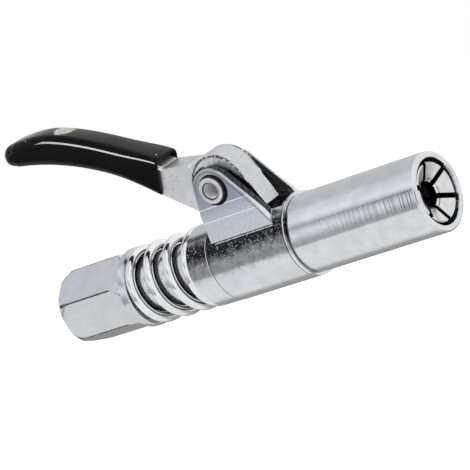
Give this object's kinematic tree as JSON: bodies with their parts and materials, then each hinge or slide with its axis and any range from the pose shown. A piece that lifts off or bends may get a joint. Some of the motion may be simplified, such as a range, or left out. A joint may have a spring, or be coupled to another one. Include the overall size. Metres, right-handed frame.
{
  "type": "lever-locking grease coupler",
  "caption": "Lever-locking grease coupler: squeezing the lever draws the spring-loaded sleeve back, so its jaws open and grip a grease nipple.",
  "frame": {"origin": "centre of the threaded hose inlet's mouth, on the hexagon's rear face", "axes": "+X along the bore axis from the inlet to the jaws, +Z to the side that carries the lever, Y along the lever's pivot rivet"},
  "size_m": [0.1115, 0.0204, 0.0554],
  "materials": {
    "plated_steel": "bright nickel plating over turned steel",
    "lever_steel": "matt plated casting",
    "grip_vinyl": "dipped glossy vinyl",
    "spring_steel": "plated spring wire",
    "stem_steel": "ground and plated steel",
    "jaw_steel": "hardened bright steel",
    "dark_steel": "oiled black spring steel",
    "valve_brass": "turned brass",
    "seal_rubber": "oil-proof rubber",
    "gasket_fibre": "pressed fibre"
  },
  "bodies": {
    "inlet": {"inlet_adapter": "plated_steel", "inlet_gasket": "gasket_fibre", "stem": "stem_steel", "check_seat": "valve_brass", "check_spring": "dark_steel", "main_spring": "spring_steel", "stop_ring": "dark_steel", "jaw_ring": "dark_steel", "piston_spring": "dark_steel"},
    "sleeve": {"clevis_sleeve": "plated_steel", "front_tube": "plated_steel", "pivot_rivet": "plated_steel"},
    "lever": {"lever_arm": "lever_steel", "lever_grip": "grip_vinyl"},
    "jaw_1": {"jaw_1": "jaw_steel"},
    "jaw_2": {"jaw_2": "jaw_steel"},
    "jaw_3": {"jaw_3": "jaw_steel"},
    "jaw_4": {"jaw_4": "jaw_steel"},
    "jaw_5": {"jaw_5": "jaw_steel"},
    "jaw_6": {"jaw_6": "jaw_steel"},
    "seal": {"seal_piston": "valve_brass", "piston_o_ring": "seal_rubber", "nipple_seal": "seal_rubber"},
    "ball": {"check_ball": "jaw_steel"}
  },
  "joints": [
    {"name": "sleeve_slide", "type": "slide", "parent": "inlet", "child": "sleeve", "axis": [-1, 0, 0], "range_m": [0, 0.00502], "stiffness_N_per_m": 8000, "springref_m": -0.004, "deforming": ["main_spring"]},
    {"name": "lever_pivot", "type": "hinge", "parent": "sleeve", "child": "lever", "pos_m": [0.0588, 0, 0.0185], "axis": [0, -1, 0], "range_deg": [0, 24]},
    {"name": "jaw_1_swing", "type": "hinge", "parent": "inlet", "child": "jaw_1", "pos_m": [0.0894, 0.00535, 0], "axis": [0, 0, 1], "range_deg": [0, 2.35]},
    {"name": "jaw_2_swing", "type": "hinge", "parent": "inlet", "child": "jaw_2", "pos_m": [0.0894, 0.00267, 0.00463], "axis": [0, -0.866, 0.5], "range_deg": [0, 2.35]},
    {"name": "jaw_3_swing", "type": "hinge", "parent": "inlet", "child": "jaw_3", "pos_m": [0.0894, -0.00267, 0.00463], "axis": [0, -0.866, -0.5], "range_deg": [0, 2.35]},
    {"name": "jaw_4_swing", "type": "hinge", "parent": "inlet", "child": "jaw_4", "pos_m": [0.0894, -0.00535, 0], "axis": [0, 0, -1], "range_deg": [0, 2.35]},
    {"name": "jaw_5_swing", "type": "hinge", "parent": "inlet", "child": "jaw_5", "pos_m": [0.0894, -0.00267, -0.00463], "axis": [0, 0.866, -0.5], "range_deg": [0, 2.35]},
    {"name": "jaw_6_swing", "type": "hinge", "parent": "inlet", "child": "jaw_6", "pos_m": [0.0894, 0.00267, -0.00463], "axis": [0, 0.866, 0.5], "range_deg": [0, 2.35]},
    {"name": "seal_slide", "type": "slide", "parent": "inlet", "child": "seal", "axis": [-1, 0, 0], "range_m": [0, 0.002], "stiffness_N_per_m": 1000, "springref_m": -0.001, "deforming": ["piston_spring"]},
    {"name": "ball_lift", "type": "slide", "parent": "inlet", "child": "ball", "axis": [1, 0, 0], "range_m": [0, 0.0012], "stiffness_N_per_m": 100, "springref_m": -0.001, "deforming": ["check_spring"]}
  ],
  "couplings": [
    {"joint": "lever_pivot", "follows": "sleeve_slide", "rad_per_m": 83.43},
    {"joint": "jaw_1_swing", "follows": "sleeve_slide", "rad_per_m": 8.168},
    {"joint": "jaw_2_swing", "follows": "sleeve_slide", "rad_per_m": 8.168},
    {"joint": "jaw_3_swing", "follows": "sleeve_slide", "rad_per_m": 8.168},
    {"joint": "jaw_4_swing", "follows": "sleeve_slide", "rad_per_m": 8.168},
    {"joint": "jaw_5_swing", "follows": "sleeve_slide", "rad_per_m": 8.168},
    {"joint": "jaw_6_swing", "follows": "sleeve_slide", "rad_per_m": 8.168}
  ]
}
